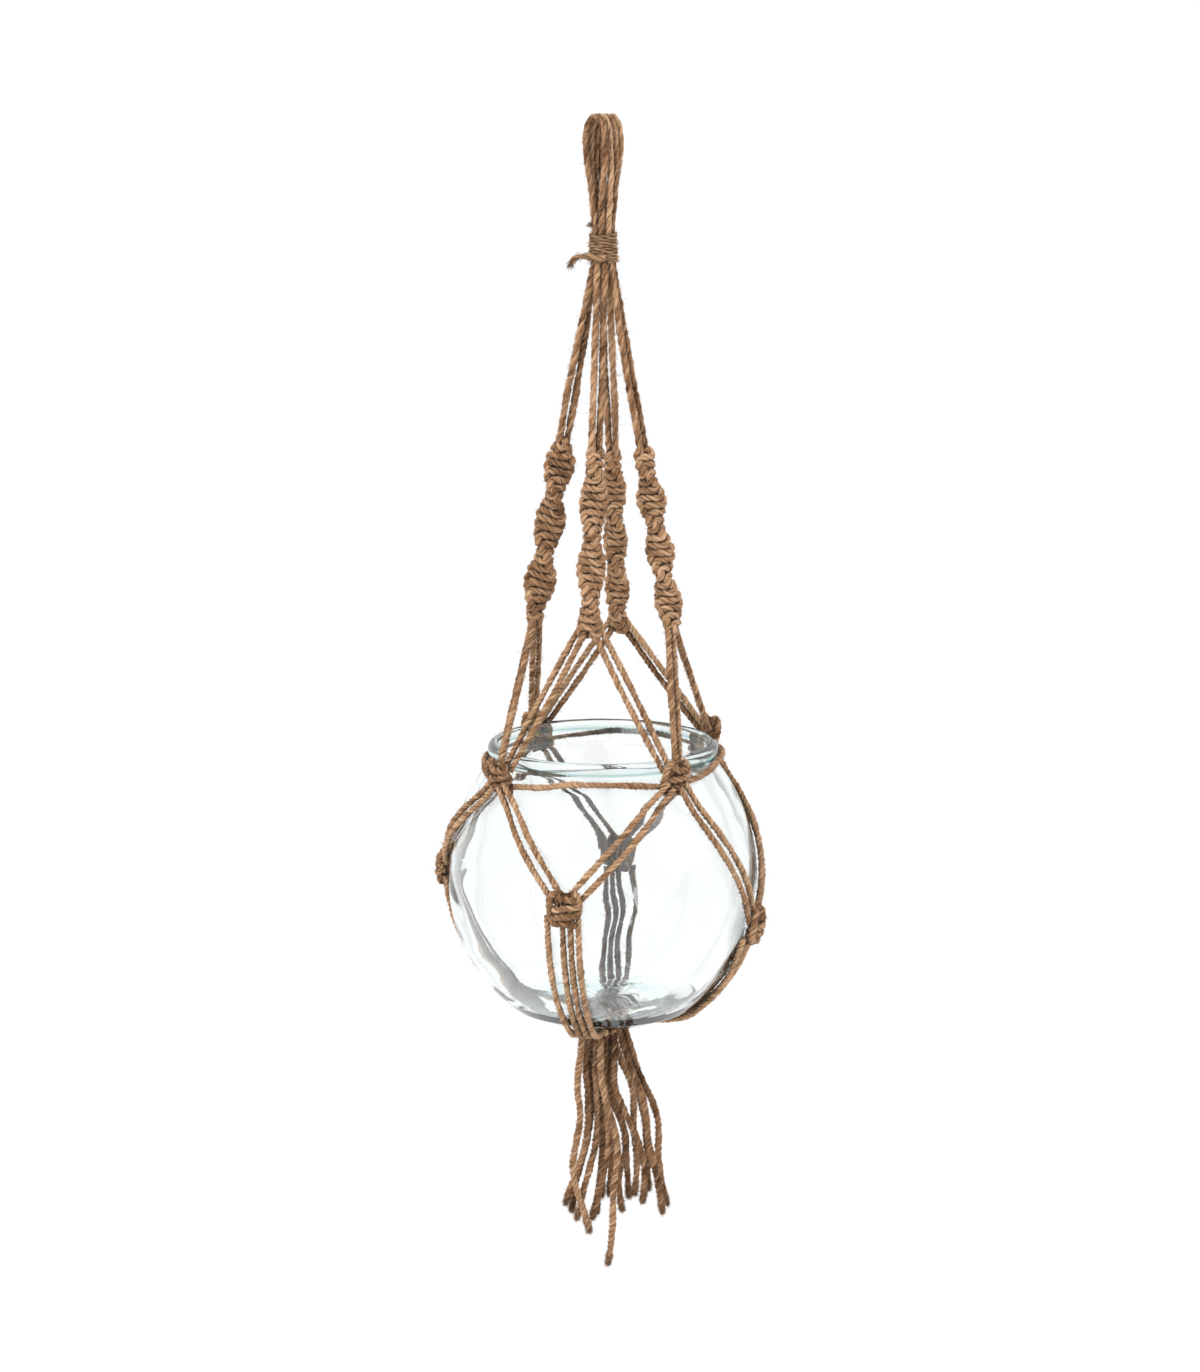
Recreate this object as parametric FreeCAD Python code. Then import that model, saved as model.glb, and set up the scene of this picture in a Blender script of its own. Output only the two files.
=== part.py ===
import FreeCAD, Part

import math
import os

V = FreeCAD.Vector

# A glass bowl hanging in a knotted jute net. Origin at the hook's seat inside the hanging loop,
# +Z up, +X to the right, +Y to the back. Millimetres and degrees.

CORD_D = 4.2                # jute cord
CORD_GAP = 0.3              # air between neighbouring cords and round the glass

# Hanging loop: four cords side by side over the hook, eight strands below it
LOOP_BAR_ANGLE = 50.0       # direction of the hook's bar
LOOP_PITCH = 4.4            # spacing of the cords along the bar
LOOP_TOP_HALF = 6.4         # half width of the fold over the hook
LOOP_WIDE_HALF = 8.0        # half width where the strands spread most
LOOP_WIDE_Z = -18.0
LOOP_WAIST = 1.14           # the strands' ring at the waist, against BUNDLE_R
LOOP_WAIST_Z = -43.0
LOOP_END_Z = -61.2
BUNDLE_R = 5.65             # ring that eight cords make in the wrap

# Top wrap: fine twine wound round the eight cords
WRAP_TOP_Z = -63.0
WRAP_BOTTOM_Z = -80.0
WRAP_R = 9.1
WRAP_END_R = 8.5
WRAP_EDGE = 1.2

# Legs: two cords each, then a spiral sennit.
# name: azimuth, sennit top z, sennit end z, direction in which the two cords part at the sennit
LEGS = {
    "front": (-101.0, -186.0, -287.0, 30.0),
    "right": (-13.0, -189.0, -290.0, 50.0),
    "back": (77.0, -193.0, -298.0, 140.0),
    "left": (167.0, -184.0, -288.0, 205.0),
}
LEG_START_Z = -82.2
LEG_HALF_ANGLE = 22.0       # the two cords of a leg in the wrap, each side of its azimuth
LEG_END_HALF = 3.2          # half their spacing at the sennit
SENNIT_TOP_R = 24.0         # distance of the sennit's axis from the planter's axis
SENNIT_END_R = 41.5
SENNIT_WAVES = 3            # bulges along one sennit
SENNIT_MEAN = 7.6           # mean radius of the sennit's outline
SENNIT_SWELL = 1.3          # how far the bulges stand above the mean

# Ring knots at the neck: name: azimuth, z of the centre
RING_KNOTS = {
    "front_right": (-58.0, -367.5),
    "back_right": (35.0, -364.5),
    "back_left": (122.0, -366.5),
    "front_left": (219.5, -370.5),
}
RING_KNOT_R = 76.6
RING_KNOT_SIZE = (9.5, 18.0, 20.0)      # radial, sideways, upright
RING_KNOT_TILT = 20.0

# Lower knots on the belly: name: azimuth, z of the centre
BELLY_KNOTS = {
    "front": (-103.0, -437.0),
    "right": (-20.0, -464.0),
    "back": (84.0, -453.0),
    "left": (168.0, -440.5),
}
BELLY_KNOT_SIZE = (8.6, 20.0, 19.0)
KNOT_FILLET = 3.6

# Neck cord round the bowl, through the ring knots
NECK_CORD_R = 70.1
NECK_CORD_DROP = 2.0        # of a stretch's middle under its two knots
NECK_CORD_LEAVES = (        # azimuth from a knot, radius, drop under it
    (2.5, 74.8, 5.4),
    (12.0, 73.1, 4.4),
    (24.0, 72.0, 3.2),
)

# Glass bowl: two arcs make the outline above and below the widest height
BOWL_R = 92.0
BOWL_WIDE_Z = -443.0
SHOULDER_ARC = 114.0
BELLY_ARC = 96.0
GLASS_WALL = 4.0
NECK_R = 66.5
NECK_Z = -371.0
SHOULDER_TOP_Z = -374.2
LIP_R = 68.2
LIP_TOP_Z = -359.5
LIP_BOTTOM_Z = -367.0
LIP_ROUND = 2.0             # rounding of the lip's top edges
MOUTH_R = 61.5
BASE_Z = -525.5
BASE_R = 40.0
BASE_TURN_Z = -516.0        # where the belly turns into the base
FLOOR_THICK = 10.0

# Cords lying on the bowl
LIE = CORD_D / 2 + 1.1      # from the glass to the cord's centre line at a route's points
QUAD_SPREAD = (-10.8, -1.7, 2.8, 7.4)   # sideways places of four cords under a belly knot
QUAD_EVEN = (-6.6, -2.2, 2.2, 6.6)      # and side by side at the bottom knot
QUAD_END = {"front": -103.0, "right": 2.0, "back": 82.0, "left": 160.0}  # azimuth there
QUAD_ANGLES = (7.0, 17.0, 27.5, 37.5, 47.0)     # stations down the belly arc
QUAD_UNDER = ((52.5, -525.2), (41.0, -528.4), (27.0, -528.6), (13.5, -528.9))   # radius, z
PAIR_GAP = 4.5              # spacing of two cords of a pair at a ring knot
PAIR_TOP_GAP = 5.2          # at a sennit's end
PAIR_LOW_GAP = 6.4          # at a belly knot
LEAVE_SIDE = 0.85           # sideways places of net cords at their knots, in cord diameters
UPPER_SIDE = 1.15
BELLY_SIDE = 1.3
NET_SPANS = 7               # straight runs in a cord over the shoulder

# Bottom knot
BOTTOM_KNOT_R = 14.5
BOTTOM_KNOT_TOP_Z = -526.6
BOTTOM_KNOT_END_Z = -534.6
BOTTOM_KNOT_EDGE = 3.0

# Tassel: sixteen cut cords, each with its own route of (x, y, z)
TASSEL = [
    [(-12, -8, -538.5), (-14, -8, -555), (-16, -9, -571), (-13, -9, -587), (-16, -10, -603),
     (-19, -10, -619), (-16, -10, -635), (-11, -9, -649), (-8, -9, -661)],
    [(-1, -8, -538.5), (-2, -8, -556), (0, -9, -572), (4, -10, -586), (8, -10, -600), (9, -10, -615),
     (6, -10, -632), (6, -10, -649), (5, -9, -666), (3, -9, -682)],
    [(9, -8, -538.5), (15, -8, -556), (22, -9, -570), (26, -10, -586), (27, -10, -602), (31, -10, -618),
     (34, -10, -634), (36, -10, -649)],
    [(-8, -3, -538.5), (-11, -3, -556), (-9, -3, -573), (-9, -4, -589), (-10, -3, -606),
     (-14, -3, -622), (-20, -4, -636), (-23, -3, -647)],
    [(-3, -3, -538.5), (-5, -3, -557), (-4, -4, -574), (-3, -3, -591), (-4, -3, -607),
     (-8, -3, -623), (-13, -4, -640), (-16, -3, -656)],
    [(2, -3, -538.5), (1, -3, -557), (1, -4, -575), (3, -3, -592), (4, -4, -608), (1, -3, -624),
     (-3, -4, -641), (-7, -3, -657)],
    [(7, -3, -538.5), (7, -3, -556), (6, -3, -571), (11, -3, -583), (17, -4, -596), (23, -3, -612),
     (26, -3, -629), (24, -3, -645)],
    [(12.5, -3, -538.5), (19, -3, -555), (23, -4, -568), (30, -4, -581), (34, -4, -596), (33, -4, -613),
     (35, -4, -631), (39, -3, -647)],
    [(-12.5, 3, -538.5), (-10, 3, -557), (-8, 3, -573), (-7, 3, -589), (-9, 3, -606), (-13, 4, -623),
     (-18, 3, -640), (-19, 3, -655)],
    [(-7, 3, -538.5), (-4, 3, -558), (-2, 4, -574), (-1, 3, -591), (0, 4, -608), (-1, 3, -624),
     (-3, 3, -640), (-4, 3, -655)],
    [(-1, 3, -538.5), (3, 3, -556), (3, 3, -571), (6, 3, -586), (12, 3, -598), (15, 3, -612),
     (10, 3, -626), (9, 3, -641), (12, 3, -655)],
    [(4, 3, -538.5), (9, 3, -555), (16, 3, -568), (19, 3, -582), (18, 3, -598), (20, 3, -614),
     (21, 3, -630), (19, 3, -644)],
    [(10, 7, -538.5), (16, 9, -556), (20, 9, -571), (23, 9, -587), (26, 10, -603), (27, 9, -618),
     (27, 10, -632), (28, 10, -644)],
    [(5, 8, -538.5), (4, 9, -557), (6, 9, -573), (10, 9, -588), (13, 9, -604), (14, 9, -620),
     (15, 10, -636), (16, 9, -650)],
    [(-5, 8, -538.5), (-7, 9, -557), (-5, 9, -574), (-4, 9, -590), (-2, 10, -606), (0, 9, -621),
     (0, 10, -635), (-1, 9, -648)],
    [(0, 8, -538.5), (-1, 9, -557), (1, 10, -573), (3, 9, -589), (5, 10, -606), (5, 9, -621),
     (5, 10, -635), (4, 9, -648)],
]

tightest = {}


def polar(radius, azimuth, z):
    """A point from its distance to the planter's axis, its azimuth and its height."""
    angle = math.radians(azimuth)
    return V(radius * math.cos(angle), radius * math.sin(angle), z)


def sideways(azimuth):
    """The unit vector along a circle round the planter's axis."""
    angle = math.radians(azimuth)
    return V(-math.sin(angle), math.cos(angle), 0)


def tube(points, name, diameter=CORD_D):
    """A round cord along straight runs joined by arcs as large as the runs allow."""
    points = [V(*point) for point in points]
    edges = []
    start = points[0]
    for before, corner, after in zip(points, points[1:], points[2:]):
        back = before - corner
        ahead = after - corner
        run = min(back.Length, ahead.Length)
        half_turn = (math.pi - back.getAngle(ahead)) / 2
        setback = 0.45 * run
        radius = setback / math.tan(half_turn)
        tightest[name] = min(tightest.get(name, radius), radius)
        back.normalize()
        ahead.normalize()
        inward = back + ahead
        inward.normalize()
        middle = corner + inward * (radius / math.cos(half_turn) - radius)
        entry = corner + back * setback
        leave = corner + ahead * setback
        edges.append(Part.LineSegment(start, entry).toShape())
        edges.append(Part.Arc(entry, middle, leave).toShape())
        start = leave
    edges.append(Part.LineSegment(start, points[-1]).toShape())
    path = Part.Wire(edges)
    ring = Part.makeCircle(diameter / 2, points[0], points[1] - points[0])
    cord = path.makePipeShell([Part.Wire(ring)], True, False)
    expected = math.pi * diameter ** 2 / 4 * path.Length
    if abs(cord.Volume - expected) > 0.01 * expected:
        raise ValueError(f"{name}: volume {cord.Volume:.0f}, section times length {expected:.0f}")
    return cord


def turned(profile):
    """A solid of revolution round Z from closed edges in the XZ plane."""
    face = Part.Face(Part.Wire(profile))
    return face.revolve(V(0, 0, 0), V(0, 0, 1), 360)


def bowl_radius(z):
    """Outer radius of the bowl at a height between the neck and the base."""
    arc = SHOULDER_ARC if z > BOWL_WIDE_Z else BELLY_ARC
    return BOWL_R - arc + math.sqrt(arc ** 2 - (z - BOWL_WIDE_Z) ** 2)


def wall_arc(arc, z_from, z_to, inset):
    """An arc of the bowl's wall between two heights, moved inward by inset."""
    centre_r = BOWL_R - arc
    radius = arc - inset
    points = []
    for z in (z_from, (z_from + z_to) / 2, z_to):
        rise = (z - BOWL_WIDE_Z) * radius / arc
        points.append(V(centre_r + math.sqrt(radius ** 2 - rise ** 2), 0, BOWL_WIDE_Z + rise))
    return points


def glass_bowl():
    belly = wall_arc(BELLY_ARC, BASE_TURN_Z, BOWL_WIDE_Z, 0)
    shoulder = wall_arc(SHOULDER_ARC, BOWL_WIDE_Z, SHOULDER_TOP_Z, 0)
    inner_shoulder = wall_arc(SHOULDER_ARC, SHOULDER_TOP_Z, BOWL_WIDE_Z, GLASS_WALL)
    inner_belly = wall_arc(BELLY_ARC, BOWL_WIDE_Z, BASE_TURN_Z, GLASS_WALL)
    base_edge = V(BASE_R, 0, BASE_Z)
    base_bulge = V((BASE_R + belly[0].x) / 2 + 1.2, 0, (BASE_Z + BASE_TURN_Z) / 2 - 1.6)
    neck = V(NECK_R, 0, NECK_Z)
    lip_low = V(NECK_R + 0.6, 0, LIP_BOTTOM_Z)
    lip_out = V(LIP_R, 0, (LIP_TOP_Z + LIP_BOTTOM_Z) / 2)
    lip_top_out = V(LIP_R - LIP_ROUND, 0, LIP_TOP_Z)
    lip_top_in = V(MOUTH_R + LIP_ROUND, 0, LIP_TOP_Z)
    mouth_top = V(MOUTH_R, 0, LIP_TOP_Z - LIP_ROUND - 0.4)
    mouth_low = V(MOUTH_R, 0, NECK_Z - 1.0)
    floor_z = BASE_Z + FLOOR_THICK
    floor_edge = V(BASE_R, 0, floor_z)
    floor_turn = V(inner_belly[2].x - 3.5, 0, floor_z + 1.0)
    profile = [
        Part.LineSegment(V(0, 0, BASE_Z), base_edge).toShape(),
        Part.Arc(base_edge, base_bulge, belly[0]).toShape(),
        Part.Arc(*belly).toShape(),
        Part.Arc(*shoulder).toShape(),
        Part.Arc(shoulder[2], V(NECK_R + 0.9, 0, NECK_Z - 1.7), neck).toShape(),
        Part.LineSegment(neck, lip_low).toShape(),
        Part.Arc(lip_low, lip_out, lip_top_out).toShape(),
        Part.LineSegment(lip_top_out, lip_top_in).toShape(),
        Part.Arc(lip_top_in, V(MOUTH_R + 0.6, 0, LIP_TOP_Z - 0.8), mouth_top).toShape(),
        Part.LineSegment(mouth_top, mouth_low).toShape(),
        Part.LineSegment(mouth_low, inner_shoulder[0]).toShape(),
        Part.Arc(*inner_shoulder).toShape(),
        Part.Arc(*inner_belly).toShape(),
        Part.Arc(inner_belly[2], floor_turn, floor_edge).toShape(),
        Part.LineSegment(floor_edge, V(0, 0, floor_z)).toShape(),
        Part.LineSegment(V(0, 0, floor_z), V(0, 0, BASE_Z)).toShape(),
    ]
    return turned(profile)


def loop_strand(centre, side, slot):
    """One half of a loop cord, from the fold over the hook down to the wrap."""
    across = sideways(LOOP_BAR_ANGLE) * side
    wide = centre + across * LOOP_WIDE_HALF
    tucked = polar(BUNDLE_R, slot, 0)
    waist = tucked * LOOP_WAIST
    return [
        centre + across * LOOP_TOP_HALF + V(0, 0, CORD_D / 2),
        V(wide.x, wide.y, LOOP_WIDE_Z),
        V(waist.x, waist.y, LOOP_WAIST_Z),
        V(tucked.x, tucked.y, LOOP_END_Z),
    ]


def loop_cord(index):
    offset = (index - 1.5) * LOOP_PITCH
    centre = polar(offset, LOOP_BAR_ANGLE, 0)
    left = loop_strand(centre, 1, 215 - 45 * index)
    right = loop_strand(centre, -1, -100 + 45 * index)
    return tube(left[::-1] + right, f"loop_cord_{index + 1}")


def top_wrap():
    edge = WRAP_EDGE
    middle_z = (WRAP_TOP_Z + WRAP_BOTTOM_Z) / 2
    low = V(WRAP_END_R, 0, WRAP_BOTTOM_Z + edge)
    high = V(WRAP_END_R, 0, WRAP_TOP_Z - edge)
    profile = [
        Part.LineSegment(V(0, 0, WRAP_BOTTOM_Z), V(WRAP_END_R - edge, 0, WRAP_BOTTOM_Z)).toShape(),
        Part.LineSegment(V(WRAP_END_R - edge, 0, WRAP_BOTTOM_Z), low).toShape(),
        Part.Arc(low, V(WRAP_R, 0, middle_z), high).toShape(),
        Part.LineSegment(high, V(WRAP_END_R - edge, 0, WRAP_TOP_Z)).toShape(),
        Part.LineSegment(V(WRAP_END_R - edge, 0, WRAP_TOP_Z), V(0, 0, WRAP_TOP_Z)).toShape(),
        Part.LineSegment(V(0, 0, WRAP_TOP_Z), V(0, 0, WRAP_BOTTOM_Z)).toShape(),
    ]
    return turned(profile)


def sennit(name):
    """The outer shape of a spiral sennit: a round bar that swells at each half turn."""
    azimuth, top_z, end_z, _ = LEGS[name]
    top = polar(SENNIT_TOP_R, azimuth, top_z)
    end = polar(SENNIT_END_R, azimuth, end_z)
    length = (end - top).Length
    steps = 4 * SENNIT_WAVES
    outline = []
    for step in range(steps + 1):
        swell = -math.cos(2 * math.pi * SENNIT_WAVES * step / steps)
        outline.append(V(SENNIT_MEAN + SENNIT_SWELL * swell, 0, -length * step / steps))
    curve = Part.BSplineCurve()
    curve.interpolate(outline)
    foot = V(0, 0, -length)
    bar = turned([
        curve.toShape(),
        Part.LineSegment(outline[-1], foot).toShape(),
        Part.LineSegment(foot, V(0, 0, 0)).toShape(),
        Part.LineSegment(V(0, 0, 0), outline[0]).toShape(),
    ])
    bar.Placement = FreeCAD.Placement(top, FreeCAD.Rotation(V(0, 0, -1), end - top))
    return bar


def knot(centre, azimuth, tilt, size):
    """A rounded block for a knot: radial, sideways and upright sizes, its foot tilted outward."""
    thick, wide, tall = size
    block = Part.makeBox(thick, wide, tall, V(-thick / 2, -wide / 2, -tall / 2))
    block = block.makeFillet(KNOT_FILLET, block.Edges)
    lean = FreeCAD.Rotation(V(0, 1, 0), -tilt)
    face = FreeCAD.Rotation(V(0, 0, 1), azimuth)
    block.Placement = FreeCAD.Placement(centre, face * lean)
    return block


def belly_tilt(z):
    """How far the bowl's surface leans at a height, positive where its foot leans outward."""
    arc = SHOULDER_ARC if z > BOWL_WIDE_Z else BELLY_ARC
    return math.degrees(math.asin((z - BOWL_WIDE_Z) / arc))


def leg_cords(name):
    azimuth, top_z, _, parting = LEGS[name]
    cords = []
    for side in (-1, 1):
        start = polar(BUNDLE_R, azimuth + LEG_HALF_ANGLE * side, LEG_START_Z)
        end = polar(SENNIT_TOP_R, azimuth, top_z - 4) + polar(LEG_END_HALF * side, parting, 0)
        cords.append(tube([start, end], f"leg_cords_{name}"))
    return cords


def net_route(start, end, spans):
    """A taut cord from start to end, pushed out on to the bowl where it meets it."""
    route = []
    for step in range(spans + 1):
        place = start + (end - start) * (step / spans)
        radius = math.hypot(place.x, place.y)
        if place.z < SHOULDER_TOP_Z:
            push = max(1.0, (bowl_radius(place.z) + LIE) / radius)
            place = V(place.x * push, place.y * push, place.z)
        route.append(place)
    return route


def beside(near, far):
    """The direction between two cords side by side, across their run and along the net."""
    middle = (near + far) * 0.5
    outward = V(middle.x, middle.y, 0)
    step = (far - near).cross(outward)
    return step.normalize()


def upper_pair(leg, knot_name, side):
    """Two cords from a sennit's end to a ring knot. side is +1 where the knot is further round."""
    azimuth, _, end_z, _ = LEGS[leg]
    knot_azimuth, knot_z = RING_KNOTS[knot_name]
    near = polar(SENNIT_END_R - 1, azimuth, end_z + 4)
    near += sideways(azimuth) * CORD_D * UPPER_SIDE * side
    far = polar(RING_KNOT_R - 2, knot_azimuth, knot_z + 4) - sideways(knot_azimuth) * CORD_D * side
    step = beside(near, far)
    name = f"net_{leg}_to_{knot_name}"
    return [tube([near + step * PAIR_TOP_GAP / 2 * way, far + step * PAIR_GAP / 2 * way], name)
            for way in (-1, 1)]


def lower_pair(ring_name, belly_name, side):
    """Two cords from a ring knot down over the shoulder to a belly knot."""
    ring_azimuth, ring_z = RING_KNOTS[ring_name]
    belly_azimuth, belly_z = BELLY_KNOTS[belly_name]
    near = polar(RING_KNOT_R + 2.8, ring_azimuth, ring_z - 5)
    near += sideways(ring_azimuth) * CORD_D * LEAVE_SIDE * side
    far = polar(bowl_radius(belly_z + 6) + LIE, belly_azimuth, belly_z + 5)
    far -= sideways(belly_azimuth) * CORD_D * BELLY_SIDE * side
    step = beside(near, far)
    name = f"net_{ring_name}_to_{belly_name}_belly"
    return [tube(net_route(near + step * PAIR_GAP / 2 * way, far + step * PAIR_LOW_GAP / 2 * way,
                           NET_SPANS), name) for way in (-1, 1)]


def bottom_cords(name):
    """Four cords from a belly knot, under the bowl and into the bottom knot."""
    azimuth, belly_z = BELLY_KNOTS[name]
    reach = BELLY_ARC + LIE
    first = math.degrees(math.asin((BOWL_WIDE_Z - belly_z + 5) / reach))
    angles = [first] + [angle for angle in QUAD_ANGLES if angle > first + 5]
    stations = [(BOWL_R - BELLY_ARC + reach * math.cos(math.radians(angle)),
                 BOWL_WIDE_Z - reach * math.sin(math.radians(angle))) for angle in angles]
    stations += QUAD_UNDER
    cords = []
    for spread, even in zip(QUAD_SPREAD, QUAD_EVEN):
        route = []
        for index, (radius, z) in enumerate(stations):
            part = index / (len(stations) - 1)
            offset = spread + (even - spread) * min(1.0, 1.5 * part) ** 2
            middle = azimuth + (QUAD_END[name] - azimuth) * part
            route.append(polar(radius, middle + math.degrees(offset / radius), z))
        cords.append(tube(route, f"bottom_cords_{name}"))
    return cords


def neck_cord(knots):
    """The cord round the neck, in four stretches from ring knot to ring knot."""
    names = list(RING_KNOTS)
    stretches = []
    for name, following in zip(names, names[1:] + names[:1]):
        (first, first_z), (last, last_z) = RING_KNOTS[name], RING_KNOTS[following]
        span = (last - first) % 360
        middle_z = (first_z + last_z) / 2 - NECK_CORD_DROP
        route = [polar(radius, first + turn, first_z - drop)
                 for turn, radius, drop in NECK_CORD_LEAVES]
        route += [polar(NECK_CORD_R, first + span / 2 + turn, middle_z) for turn in (-8, 8)]
        route += [polar(radius, last - turn, last_z - drop)
                  for turn, radius, drop in reversed(NECK_CORD_LEAVES)]
        stretches.append(tube(route, "neck_cord").cut(knots))
    return stretches


def bottom_knot():
    height = BOTTOM_KNOT_TOP_Z - BOTTOM_KNOT_END_Z
    disc = Part.makeCylinder(BOTTOM_KNOT_R, height, V(0, 0, BOTTOM_KNOT_END_Z))
    rims = [edge for edge in disc.Edges if not edge.isSeam(disc.Faces[0])]
    return disc.makeFillet(BOTTOM_KNOT_EDGE, rims)


def build():
    nodes = {"glass_bowl": [glass_bowl()], "top_wrap": [top_wrap()]}
    for index in range(4):
        nodes[f"loop_cord_{index + 1}"] = [loop_cord(index)]
    for name, (azimuth, z) in RING_KNOTS.items():
        centre = polar(RING_KNOT_R, azimuth, z)
        nodes[f"ring_knot_{name}"] = [knot(centre, azimuth, RING_KNOT_TILT, RING_KNOT_SIZE)]
    for name, (azimuth, z) in BELLY_KNOTS.items():
        centre = polar(bowl_radius(z) + BELLY_KNOT_SIZE[0] / 2 + 1.0, azimuth, z)
        nodes[f"belly_knot_{name}"] = [knot(centre, azimuth, belly_tilt(z), BELLY_KNOT_SIZE)]
    for name in LEGS:
        nodes[f"sennit_{name}"] = [sennit(name)]
    nodes["bottom_knot"] = [bottom_knot()]

    ends = Part.makeCompound([solid for name, solids in nodes.items() for solid in solids
                              if name.startswith(("ring_knot", "belly_knot", "sennit", "bottom"))])
    ring_knots = Part.makeCompound([nodes[f"ring_knot_{name}"][0] for name in RING_KNOTS])
    nodes["neck_cord"] = neck_cord(ring_knots)
    around = {"front": ("front_left", "front_right"), "right": ("front_right", "back_right"),
              "back": ("back_right", "back_left"), "left": ("back_left", "front_left")}
    for name, (before, after) in around.items():
        nodes[f"leg_cords_{name}"] = [cord.cut(ends) for cord in leg_cords(name)]
        nodes[f"bottom_cords_{name}"] = [cord.cut(ends) for cord in bottom_cords(name)]
        for ring, side in ((before, -1), (after, 1)):
            pair = [cord.cut(ends) for cord in upper_pair(name, ring, side)]
            nodes[f"net_{name}_to_{ring}"] = pair
            pair = [cord.cut(ends) for cord in lower_pair(ring, name, -side)]
            nodes[f"net_{ring}_to_{name}_belly"] = pair
    for index, route in enumerate(TASSEL):
        name = f"tassel_cord_{index + 1:02d}"
        nodes[name] = [tube(route, name)]
    return nodes


def main():
    os.makedirs("parts", exist_ok=True)
    for name, solids in build().items():
        shape = solids[0] if len(solids) == 1 else Part.makeCompound(solids)
        shape.exportStep(f"parts/{name}.step")
    for name, radius in sorted(tightest.items()):
        print(f"{name}: tightest radius {radius:.1f} mm, {radius / CORD_D:.1f} diameters")


main()
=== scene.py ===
import math
import zlib

import bpy
import numpy as np
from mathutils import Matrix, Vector


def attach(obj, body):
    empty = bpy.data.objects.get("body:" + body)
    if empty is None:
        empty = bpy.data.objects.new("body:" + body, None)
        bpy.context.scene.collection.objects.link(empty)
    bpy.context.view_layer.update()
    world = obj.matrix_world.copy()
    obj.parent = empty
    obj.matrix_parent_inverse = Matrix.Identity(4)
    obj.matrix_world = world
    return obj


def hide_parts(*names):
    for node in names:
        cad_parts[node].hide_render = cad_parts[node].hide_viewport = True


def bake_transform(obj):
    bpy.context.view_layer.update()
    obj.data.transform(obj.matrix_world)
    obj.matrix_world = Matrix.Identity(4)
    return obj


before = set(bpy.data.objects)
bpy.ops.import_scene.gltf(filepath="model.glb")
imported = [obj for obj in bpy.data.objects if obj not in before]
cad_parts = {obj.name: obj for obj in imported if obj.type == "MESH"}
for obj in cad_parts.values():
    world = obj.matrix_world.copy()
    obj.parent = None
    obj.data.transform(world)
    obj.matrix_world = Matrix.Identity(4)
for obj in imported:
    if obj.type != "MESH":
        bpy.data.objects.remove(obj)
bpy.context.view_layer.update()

# Metres and degrees throughout, in the frame of the CAD part. An azimuth is measured from +x
# towards +y, and a tone makes a cord lighter, or darker where it is negative.
MM = 0.001
ROUND = 6.28                # about one turn in radians, the range of a chosen phase

# Cord
CORD_D = 0.0042             # jute cord, three plies laid together
NET_CORD_D = 0.0038         # where the cord is drawn tight
LOOP_CORD_D = 0.0040
TASSEL_CORD_D = 0.0043      # where nothing holds it
KNOT_CORD_D = 0.0045        # working cord, as it bulges over a knot
SENNIT_CORD_D = 0.0049
TWINE_D = 0.0021            # the wrap's own, of two plies
LAY = 0.010                 # length of one full turn of the plies
LOOP_LAY = 0.020
LEG_LAY = 0.018
SENNIT_LAY = 0.012
STEP = 0.0008               # spacing of the rings along a cord
PLY_SIDES = 9
PLY_SHARE = 0.61            # a ply's radius, of the cord's
PLY_REPEAT = 0.026          # length in which a ply's own fibres go once round it
COARSE_RELIEF = 0.085       # bumps and fibre relief, of the ply's radius
FINE_RELIEF = 0.05
FIBRES_PER_MM = 2.2
FIBRE_ROOT = 0.86           # of the cord's radius
LONG_FIBRE_EVERY = 0.006

# Hanging loop and wrap
BUNDLE_R = 0.00475          # ring that the eight strands make in the wrap
LOOP_BAR_ANGLE = 50.0       # direction in which the four folds stand side by side
LOOP_PITCH = 0.0044
LOOP_HALF = 0.0080          # half width of the loop's eye
LOOP_TONES = (-0.04, 0.16, -0.02, 0.08)
WRAP_TOP_Z = -0.0628
WRAP_BOTTOM_Z = -0.0790
WRAP_TURNS = 8.6
WRAP_R = 0.0081
WRAP_TAPER = 0.0008         # how much narrower the wrap is at its top
WRAP_SLANT = 0.0012

# Legs and sennits. Name: azimuth, sennit top z, sennit end z, direction in which the two cords
# part at the top, z of a widest place, half turn of the spiral, half width
LEGS = {
    "front": (-101.0, -0.186, -0.287, 30.0, -0.2146, 0.0374, 0.0056),
    "right": (-13.0, -0.189, -0.290, 50.0, -0.2160, 0.0295, 0.0056),
    "back": (77.0, -0.193, -0.298, 140.0, -0.2150, 0.0300, 0.0048),
    "left": (167.0, -0.184, -0.288, 205.0, -0.1960, 0.0352, 0.0067),
}
LEG_TOP_R = 0.0052
LEG_TOP_TURN = 24.0         # of a leg's two cords from its azimuth, as they leave the wrap
LEG_END_HALF = 0.0030
SENNIT_TOP_R = 0.024
SENNIT_END_R = 0.0415
SENNIT_PITCH = 0.0047       # of one half knot
SENNIT_THIN = 0.0028        # half thickness across a knot's flat side
SENNIT_CORE = 0.0018        # of a straight core cord from the middle

# Knots round the bowl. Name: azimuth, z
RING_KNOTS = {
    "front_right": (-58.0, -0.3675),
    "back_right": (35.0, -0.3645),
    "back_left": (122.0, -0.3665),
    "front_left": (219.5, -0.3705),
}
RING_KNOT_R = 0.0766
RING_KNOT_TILT = -20.0
RING_KNOT_SIZE = (0.0095, 0.0075, 0.0030)      # half height, half width, half thickness
BELLY_KNOTS = {
    "front": (-103.0, -0.437),
    "right": (-20.0, -0.464),
    "back": (84.0, -0.453),
    "left": (168.0, -0.4405),
}
BELLY_KNOT_THICK = 0.0086
BELLY_KNOT_SIZE = (0.0092, 0.0082, 0.0027)
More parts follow.
